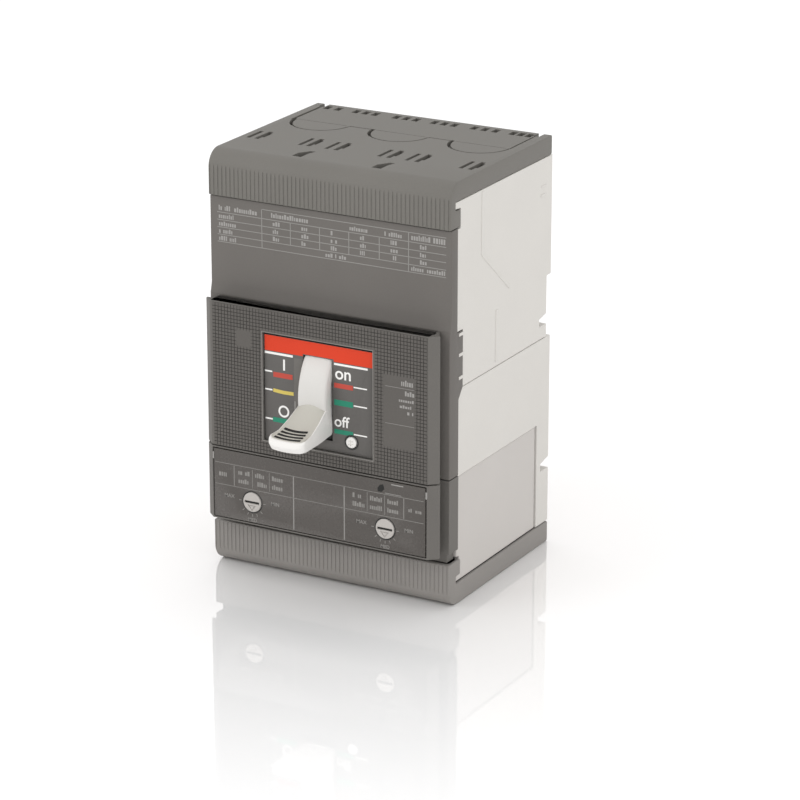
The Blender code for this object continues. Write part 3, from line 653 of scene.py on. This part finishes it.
def plate_print():
    """On and off markings of the indicator plate."""
    low, high = span("indicator_plate")
    front = low.y
    slot = 6.8
    band = [(low.x + 0.3, 10.7), (-slot, 10.7), (-slot, 11.6), (slot, 11.6), (slot, 10.7),
            (high.x - 0.3, 10.7), (high.x - 0.3, 16.9), (low.x + 0.3, 16.9)]
    red = prism("Y", band, front - INK_RAISE, front + INK_RAISE)
    finish(red, "print_band", RED)
    dull = [mark((-19.9, -11.4), (0.4, 2.4), front), mark((6.9, 15.1), (0.5, 2.4), front)]
    finish(gather(dull), "print_on_bars", DULL_RED)
    trip_bar = strip([(-20.0, -5.0), (-15.5, -5.3), (-11.0, -5.2)], 1.4)
    finish(prism("Y", trip_bar, front - INK_RAISE, front + INK_RAISE), "print_trip_bar", YELLOW)
    green = [mark((-20.3, -11.4), (-17.8, -15.9), front), mark((6.9, 15.1), (-6.5, -4.2), front),
             mark((6.9, 15.1), (-17.9, -16.1), front)]
    finish(gather(green), "print_off_bars", GREEN)
    white = [mark((-23.6, -11.2), (9.4, 10.3), front), mark((6.9, 21.5), (9.5, 10.3), front),
             mark((-15.5, -14.7), (3.6, 8.0), front),
             ring("Y", (-15.4, -13.0), 2.4, 0.75, front - INK_RAISE, front + INK_RAISE),
             lettering("on", 7.4, 4.0, 3.4, front), lettering("off", 7.0, -15.0, 4.4, front)]
    for z in (2.4, -5.0, -16.8):
        white.append(mark((-23.6, -20.4), (z - 0.3, z + 0.3), front))
    for z in (1.9, -5.5, -17.0):
        white.append(mark((15.4, 21.2), (z - 0.25, z + 0.25), front))
    finish(gather(white), "print_words", INK)
    finish(soften(mark((-10.6, -10.2), (-13.6, -8.0), front), 0.04), "print_slot_line", PALE_INK)
    smooth = soften(mark((-10.7, -7.2), (-13.4, 9.4), front + 0.02), 0.04)
    finish(smooth, "plate_smooth_strip", FRONT)


PLATE_TOP = 17.0
SLOT_HALF = 6.4                 # half width of the handle's slot


def indicator_plate():
    """Plate with its handle slot, whose ends follow the shield, and its button hole."""
    low, high = span("indicator_plate")
    plate = box((low.x, high.x), (low.y, high.y), (low.z, PLATE_TOP))
    pivot = joint_place("handle_toggle")
    cut(plate, rod("X", (pivot.y, pivot.z), SHIELD_RADIUS + 0.3, HANDLE_X - SLOT_HALF,
                  HANDLE_X + SLOT_HALF, 144))
    x, z = BUTTON
    cut(plate, rod("Y", (x, z), 2.5, -95.0, -85.0))
    soften(plate, 0.2, 2)
    finish(plate, "indicator_plate_moulded", PLATE,
           replaces=("indicator_plate",))
    # a black ring round the button: painted shadow of the gap round it
    finish(ring("Y", (x, z), 3.0, 0.45, low.y - 0.12, low.y + 0.2), "button_painted_shadow_ring", BLACK)


def test_button():
    """Domed push button with its flange and stem."""
    x, z = BUTTON
    radius = 2.2
    head = rod("Y", (x, z), radius, BUTTON_LOW.y, BUTTON_LOW.y + 3.0)
    settle(soften(head, 0.55, 4))
    sunk = (-95.0, BUTTON_LOW.y + 0.3)
    cut(head, box((x - 0.25, x + 0.25), sunk, (z - 1.3, z + 1.3)))
    cut(head, box((x - 0.9, x + 1.1), sunk, (z + 0.5, z + 0.9)))
    cut(head, prism("Y", [(x - 1.2, z - 0.9), (x + 1.2, z - 0.4), (x + 1.2, z - 0.1),
                          (x - 1.2, z - 0.6)], *sunk))
    join(head, rod("Y", (x, z), 3.2, -89.6, -88.4), rod("Y", (x, z), 1.2, -88.8, BUTTON_HIGH.y))
    finish(head, "test_button_moulded", WHITE, "test_button",
           ("trip_test_button",))


# ---- toggle handle ------------------------------------------------------------------

REST_ANGLE = math.radians(-20.0)


def joint_place(name):
    for joint in frame["joints"]:
        if joint["name"] == name:
            return Vector(joint["pos_m"]) / MM
    raise ValueError("no joint " + name)


def lever_matrix():
    """From the lever's own axes (x, up across it, out along it) to the row frame."""
    out = Vector((0.0, -math.cos(REST_ANGLE), math.sin(REST_ANGLE)))
    up = Vector((0.0, math.sin(REST_ANGLE), math.cos(REST_ANGLE)))
    turn = Matrix((Vector((1.0, 0.0, 0.0)), up, out)).transposed().to_4x4()
    pivot = joint_place("handle_toggle")
    return Matrix.Translation(Vector((HANDLE_X, pivot.y, pivot.z)) * MM) @ turn


def on_lever(obj):
    """Moves a shape drawn in the lever's axes to its place."""
    obj.data.transform(lever_matrix())
    return obj


LEVER_HALF = 6.35               # half width at the root
TIP_HALF = 7.9
TIP_REACH = 47.6                # from the pivot to the tip
TIP_ROUND = 2.4                 # corner radius of the tip seen from above
FLAT_REACH = 38.0               # the tip's rounding starts beyond here

# Side view from the root to the tip: (out, up, how much lower it is at the sides)
TOP_LINE = ((20.0, 8.8, 4.0), (24.0, 7.8, 2.3), (27.0, 6.7, 1.5), (31.0, 5.4, 0.8),
            (38.0, 4.5, 0.1), (45.6, 5.9, 0.0))
LIP = ((46.8, 5.5, 0.0), (47.4, 4.3, 0.0), (46.8, 1.8, 0.0), (45.4, 1.0, 0.0))
UNDER = ((34.0, -2.6, 0.0), (23.5, -6.0, 0.0), (20.0, -6.4, 0.0))


# Places across the handle from -1 to 1, closest at its sides
SHARES = [math.sin(math.radians(degrees)) for degrees in range(-90, 91, 10)]


def loft(outlines):
    """A closed shape through outlines with equally many points, given in metres."""
    bm = bmesh.new()
    rows = [[bm.verts.new(point) for point in outline] for outline in outlines]
    for row, following in zip(rows, rows[1:]):
        for index, corner in enumerate(row):
            bm.faces.new((row[index - 1], corner, following[index], following[index - 1]))
    bm.faces.new(rows[0])
    bm.faces.new(rows[-1])
    return mesh_object("loft", bm)


def tip_reach(share):
    """How far out the rounded tip reaches; share runs from -1 to 1 across the lever."""
    into = min(max(abs(share) * TIP_HALF - (TIP_HALF - TIP_ROUND), 0.0), TIP_ROUND)
    return TIP_REACH - 1.2 * share ** 2 - TIP_ROUND + math.sqrt(TIP_ROUND ** 2 - into ** 2)


def lever_place(share, out, up, droop, inset):
    if out > FLAT_REACH:
        out = FLAT_REACH + ((out - FLAT_REACH) * (tip_reach(share) - FLAT_REACH)
                            / (TIP_REACH - FLAT_REACH))
    half = LEVER_HALF + (TIP_HALF - LEVER_HALF) * (out - 26.0) / (TIP_REACH - TIP_ROUND - 26.0)
    x = share * (half - inset)
    return Vector((x, up - droop * (x / half) ** 2, out)) * MM


def lever_loft(loop, inset=0.0):
    """A closed shape across the lever; loop goes round its side view as (out, up, droop)."""
    return loft([[lever_place(share, *point, inset) for point in loop] for share in SHARES])


def top_height(out):
    """Height of the middle of the lever's top at a distance from the pivot."""
    for (near, low, _), (far, high, _) in zip(TOP_LINE, TOP_LINE[1:]):
        if out <= far:
            return low + (high - low) * (out - near) / (far - near)
    return TOP_LINE[-1][1]


SHIELD_HALF = 6.25
SHIELD_THICKNESS = 2.4
SIDE_DROP = 3.0                 # how far the face rolls back at the shield's sides
SHIELD_ENDS = (136.0, 213.5, 262.0)     # top, underside of the lever, bottom


def shield(first, last):
    """A stretch of the curved shield, whose face rolls off towards its sides."""
    pivot = joint_place("handle_toggle")
    steps = round((last - first) / 2.5)
    rows = []
    for share in SHARES:
        face = SHIELD_RADIUS - SIDE_DROP * (1.0 - (1.0 - abs(share) ** 5) ** 0.2)
        inner = min(face - 0.8, SHIELD_RADIUS - SHIELD_THICKNESS)
        loop = arc((pivot.y, pivot.z), face, first, last, steps)
        loop += arc((pivot.y, pivot.z), inner, last, first, steps)
        x = HANDLE_X + share * SHIELD_HALF
        rows.append([Vector((x, y, z)) * MM for y, z in loop])
    return loft(rows)


def toggle_handle():
    """White lever; the shield with its cheeks in darker white, painted shade; the shield below the lever
    in black, painted shade; a matt top in darker white, painted shade; and four grip bars.
    """
    top, middle, bottom = SHIELD_ENDS
    pivot = joint_place("handle_toggle")
    barrel = shield(top, middle)
    cheek = arc((pivot.y, pivot.z), SHIELD_RADIUS - 3.0, top, bottom, 28)
    cheek += arc((pivot.y, pivot.z), 18.6, bottom, top, 28)
    join(barrel, prism("X", cheek, -5.7, -4.4), prism("X", cheek, 4.2, 5.4))
    finish(barrel, "toggle_shield", WHITE_PAINTED_SHADE, "handle_assembly", sharp=40.0)
    # the shield below the lever in black: painted shade of the gap under the lever
    shaded_skirt = soften(shield(middle, bottom), 0.3, 2)
    finish(shaded_skirt, "toggle_shield_skirt_painted_shade", BLACK, "handle_assembly")
    lever = lever_loft(TOP_LINE + LIP + UNDER)
    settle(soften(lever, 0.7, 4, 28.0))
    join(lever, box((-5.0, 5.0), (-4.0, 4.0), (17.9, 24.6)))
    on_lever(lever)
    finish(lever, "toggle_handle_moulded", WHITE, "handle_assembly",
           ("toggle_handle",), 40.0)
    # a thin skin over the lever's top in darker white, painted shade
    skin = [(out, up + 0.06, droop) for out, up, droop in TOP_LINE[:5]] + [(45.0, 5.84, 0.0)]
    skin += [(out, up - 0.4, droop) for out, up, droop in reversed(skin)]
    shaded_top = on_lever(lever_loft(skin, 0.35))
    finish(shaded_top, "lever_top_painted_shade", WHITE_TOP_PAINTED_SHADE, "handle_assembly", sharp=40.0)
    grip_bars()


def grip_bars():
    """Four black bars across the lever near its tip, bowed towards it."""
    bars = []
    for number in range(4):
        out = 36.7 + 2.15 * number
        half = 5.1 + 0.2 * number
        path = []
        for step in range(13):
            share = step / 6 - 1.0
            path.append((share * half - 0.2, out + 0.7 * (1.0 - share ** 2)))
        height = top_height(out + 0.5)
        bars.append(prism("Y", strip(path, 1.15), height - 0.5, height + 0.2))
    bars = soften(on_lever(gather(bars)), 0.12, 2)
    finish(bars, "grip_bars", BLACK_AND_PAINTED_SHADE, "handle_assembly")


# ---- trip unit ----------------------------------------------------------------------

FACE_LOW, FACE_HIGH = span("trip_unit_faceplate")
DIALS = (("thermal_dial", "thermal_adjuster"), ("magnetic_dial", "magnetic_adjuster"))


def dial_place(name):
    low, high = span(name)
    return (low.x + high.x) / 2, (low.z + high.z) / 2


def faceplate():
    """Glossy plate with a fine eased edge and the two dial holes."""
    plate = box((FACE_LOW.x, FACE_HIGH.x), (FACE_LOW.y, FACE_HIGH.y), (FACE_LOW.z, FACE_HIGH.z))
    holes = [rod("Y", dial_place(name), 4.35, -95.0, -90.0) for name, _ in DIALS]
    cut(plate, *holes)
    soften(plate, 0.25, 3)
    finish(plate, "trip_faceplate_moulded", GLOSSY,
           replaces=("trip_unit_faceplate",))


def faceplate_print():
    """Scale lines, small print blocks and dial labels of the trip unit."""
    front = FACE_LOW.y
    lines = [mark((x - 0.2, x + 0.2), (FACE_LOW.z + 0.6, -38.3), front) for x in (-10.9, 11.6)]
    finish(gather(lines), "trip_dividers", PALE_INK)
    faint = []
    for z in (-38.3, -47.2):
        faint.append(mark((FACE_LOW.x + 0.6, FACE_HIGH.x - 0.6), (z - 0.1, z + 0.1), front))
    for middle in (-25.5, 25.5):
        for offset in (-3.8, 3.8):
            x = middle + offset
            faint.append(mark((x - 0.1, x + 0.1), (-46.6, -38.9), front))
    for x in (-37.6, 37.6):
        faint.append(mark((x - 0.16, x + 0.16), (-46.9, -38.6), front))
    finish(gather(faint), "trip_rules", FAINT_INK)
    words = scribble((-44.5, -40.5), -43.8, 2.2, front, 70)
    words += scribble((39.6, 45.5), -43.6, 1.5, front, 71)
    for column, middle in enumerate((-33.1, -25.5, -17.9, 17.9, 25.5, 33.1)):
        for row, z in enumerate((-41.9, -45.4)):
            words += scribble((middle - 2.6, middle + 2.6), z, 1.9, front, 80 + column * 2 + row)
    for name, _ in DIALS:
        x, z = dial_place(name)
        words += [lettering("MAX", x - 10.3, z + 0.2, 1.5, front, True),
                  lettering("MIN", x + 10.3, z + 0.2, 1.5, front, True),
                  lettering("MED", x, z - 8.0, 1.4, front, True)]
        for degrees in (0, 180, 222, 248, 270, 292, 318):
            angle = math.radians(degrees)
            along = Vector((math.cos(angle), math.sin(angle)))
            ends = [tuple(Vector((x, z)) + along * reach) for reach in (4.9, 6.0)]
            words.append(prism("Y", strip(ends, 0.28), front - INK_RAISE, front + INK_RAISE))
    finish(gather(words), "trip_print", FAINT_INK)


def dials():
    """Slotted adjusting dials with a pointer, each in its sunk hole."""
    for name, body in DIALS:
        low, high = span(name)
        x, z = dial_place(name)
        head = rod("Y", (x, z), 4.0, low.y, low.y + 1.7)
        settle(soften(head, 0.3, 3))
        cut(head, box((x - 3.3, x + 3.3), (-95.0, low.y + 0.9), (z - 0.5, z + 0.5)))
        pointer = [(x - 1.9, z - 1.1), (x + 1.9, z - 1.1), (x, z - 3.5)]
        inner = [(x - 1.1, z - 1.5), (x + 1.1, z - 1.5), (x, z - 2.9)]
        vee = prism("Y", pointer, -95.0, low.y + 0.3)
        cut(vee, prism("Y", inner, -96.0, -90.0))
        cut(head, vee)
        join(head, rod("Y", (x, z), 2.0, low.y + 1.2, high.y, 24))
        finish(head, name + "_moulded", DIAL, body, (name,))
        # a black sheet at the bottom of each dial's slot: painted shade
        slot = box((x - 3.1, x + 3.1), (low.y + 0.45, low.y + 0.95), (z - 0.42, z + 0.42))
        finish(soften(slot, 0.1, 2), name + "_slot", BLACK_AND_PAINTED_SHADE, body)
        # a black ring round each dial: painted shade of the gap round it
        dial_shade_ring = ring("Y", (x, z), 4.5, 0.25, FACE_LOW.y - 0.04, FACE_LOW.y + 0.3)
        finish(dial_shade_ring, name + "_painted_shade_ring", BLACK)


def trip_details():
    """Clips at the faceplate's ends and the seal notch above it, the notch a flat black patch of painted
    shade.
    """
    front = FACE_LOW.y
    clips = []
    for x, z in ((-46.9, -35.8), (47.3, -35.8)):
        clips.append(soften(box((x - 0.3, x + 0.3), (front - 0.25, front + 0.6),
                                (z - 1.4, z + 1.4)), 0.12, 2))
    clips = [settle(clip) for clip in clips]
    finish(gather(clips), "faceplate_clips", PALE_INK)
    # the seal notch as a flat black patch: painted shade
    notch = [(26.4, -37.6), (28.0, -37.6), (29.2, -36.2), (28.6, -34.4), (27.2, -34.9),
             (26.2, -36.2)]
    finish(prism("Y", notch, front - INK_RAISE, front + 0.3), "seal_notch_painted_shade", BLACK_AND_PAINTED_SHADE)
    tab = [mark((32.2, 37.4), (-34.1, -33.7), front), mark((29.4, 36.6), (-37.9, -37.7), front)]
    finish(gather(tab), "seal_tab_line", PALE_INK)


# ---- case details -------------------------------------------------------------------

TOOTH_LEVELS = (24.2, 16.2, 7.1)
TOOTH_DEPTH = (52.2, 52.75)     # from inside the cover's rail to just proud of it


def case_details():
    """Mould ridges, catches and edge teeth on both sides of the light case."""
    face = span("upper_case")[1].x
    pieces = []
    for sign in (-1.0, 1.0):
        inner, outer = sorted((sign * (face - 0.3), sign * (face + 0.28)))
        pieces.append(box((inner, outer), (-59.0, -57.4), (50.6, 75.4)))
        pieces.append(box((inner, outer), (-46.8, -45.2), (4.8, 25.6)))
        tooth = sorted(sign * reach for reach in TOOTH_DEPTH)
        for z in TOOTH_LEVELS:
            pieces.append(box(tooth, (-76.9, -73.2), (z - 0.65, z + 0.65)))
        ridge = strip([(-58.3, 50.8), (-35.6, 31.9)], 1.3)
        pieces.append(prism("X", ridge, inner, outer))
        for y, z in ((-7.0, 65.0), (-7.6, 61.5)):
            pieces.append(box((inner, outer), (y - 2.2, y + 1.6), (z - 0.5, z + 0.5)))
    pieces = [settle(soften(piece, 0.26, 3)) for piece in pieces]
    finish(gather(pieces), "case_ridges", CASE)


CASINGS = ("upper_case", "lower_case", "trip_unit_case", "escutcheon", "trip_unit_cover")


def carried_nodes():
    """Finishes of the CAD nodes that are shown as they are."""
    finishes = {
        "upper_case": CASE, "lower_case": CASE, "trip_unit_case": TRIP_CASE,
        "escutcheon": FRONT, "trip_unit_cover": FRONT, "main_spring": SPRING,
        "trip_button_spring": SPRING, "crossbar": BLACK, "trip_bar": BLACK,
        "moving_contact": COPPER, "line_terminal": COPPER, "load_terminal": COPPER,
        "line_terminal_screw": ZINC, "load_terminal_screw": ZINC, "flexible_braid": BRAID,
        "arc_chute": CHUTE, "bimetal": BIMETAL, "cradle_pin": PIN, "latch_pin": PIN,
    }
    shown = {name: obj for name, obj in frame["nodes"].items() if not obj.hide_render}
    for name, obj in shown.items():
        matches = [key for key in finishes if name.startswith(key)]
        material = finishes[max(matches, key=len)] if matches else ZINC
        obj.data.materials.clear()
        obj.data.materials.append(material)
        weld = obj.modifiers.new("weld", "WELD")
        weld.merge_threshold = 0.005 * MM
        if "spring" in name:
            continue
        flat = obj.modifiers.new("flat", "DECIMATE")
        flat.decimate_type = "DISSOLVE"
        flat.angle_limit = math.radians(0.5)
        soften(obj, 0.4 if name in CASINGS else 0.12, 2, 40.0)


# ---- stage --------------------------------------------------------------------------

def floor():
    """Pale floor that mirrors softly near the object and fades to plain further out."""
    size = 6.0
    bm = bmesh.new()
    bmesh.ops.create_grid(bm, x_segments=1, y_segments=1, size=size)
    plane = mesh_object("floor", bm)
    plane.location.z = CAD_BOUNDS[0].z - 0.1 * MM
    material = bpy.data.materials.new("floor")
    material.use_nodes = True
    tree = material.node_tree
    tree.nodes.remove(tree.nodes["Principled BSDF"])
    place = node(tree, "TexCoord").outputs["Object"]
    reach = node(tree, "VectorMath", {0: place}, operation="LENGTH").outputs["Value"]
    share = node(tree, "MapRange", {"Value": reach, "From Min": 0.05, "From Max": 0.36,
                                    "To Min": 0.45, "To Max": 0.0}).outputs[0]
    matt = node(tree, "BsdfDiffuse", {"Color": (0.97, 0.97, 0.97, 1.0)})
    gloss = node(tree, "BsdfAnisotropic", {"Color": (0.97, 0.94, 0.93, 1.0), "Roughness": 0.03})
    mixed = node(tree, "MixShader", {0: share, 1: matt.outputs[0], 2: gloss.outputs[0]})
    tree.links.new(mixed.outputs[0], tree.nodes["Material Output"].inputs["Surface"])
    plane.data.materials.append(material)


def soft_light(name, place, size, power):
    data = bpy.data.lights.new(name, "AREA")
    data.shape = "SQUARE"
    data.size = size
    data.energy = power
    lamp = bpy.data.objects.new(name, data)
    lamp.location = place
    lamp.rotation_euler = (-Vector(place)).to_track_quat("-Z", "Y").to_euler()
    bpy.context.scene.collection.objects.link(lamp)


def stage():
    floor()
    world = bpy.data.worlds.new("studio")
    world.use_nodes = True
    world.node_tree.nodes["Background"].inputs["Color"].default_value = (1.0, 1.0, 1.0, 1.0)
    world.node_tree.nodes["Background"].inputs["Strength"].default_value = 1.02
    bpy.context.scene.world = world
    soft_light("top_light", (-0.1, 0.15, 1.3), 1.0, 1.5)
    soft_light("left_light", (-0.9, -1.1, 0.8), 0.8, 4.0)
    soft_light("right_light", (1.3, -0.5, 0.5), 0.8, 2.0)
    bpy.context.scene.view_settings.view_transform = "Standard"


def camera():
    """Three-quarter view from the right and above, through a long lens."""
    data = bpy.data.cameras.new("camera")
    data.lens = 158.98
    data.sensor_width = 36.0
    data.clip_end = 20.0
    obj = bpy.data.objects.new("camera", data)
    place = Vector((642.7, -1186.6, 432.4)) * MM
    target = Vector((9.0, -44.0, -18.6)) * MM
    obj.location = place
    obj.rotation_euler = (target - place).to_track_quat("-Z", "Y").to_euler()
    bpy.context.scene.collection.objects.link(obj)
    bpy.context.scene.camera = obj


# ---- build --------------------------------------------------------------------------

terminal_cover("top_terminal_cover", 1, [(-1.0, 76.4), (-79.8, 76.4), (-79.8, 73.0),
                                         (-75.8, 73.0)], CAP)
terminal_cover("bottom_terminal_cover", -1, [(-0.5, -75.7), (-78.0, -75.7), (-78.0, -72.6),
                                             (-74.7, -72.6)], CAP_FLOOR_LIT)
main_cover()
rating_table()
grid_front()
label_print()
window_rim()
channel_painted_shade()
indicator_plate()
plate_print()
test_button()
toggle_handle()
faceplate()
faceplate_print()
dials()
trip_details()
case_details()
carried_nodes()
stage()
camera()
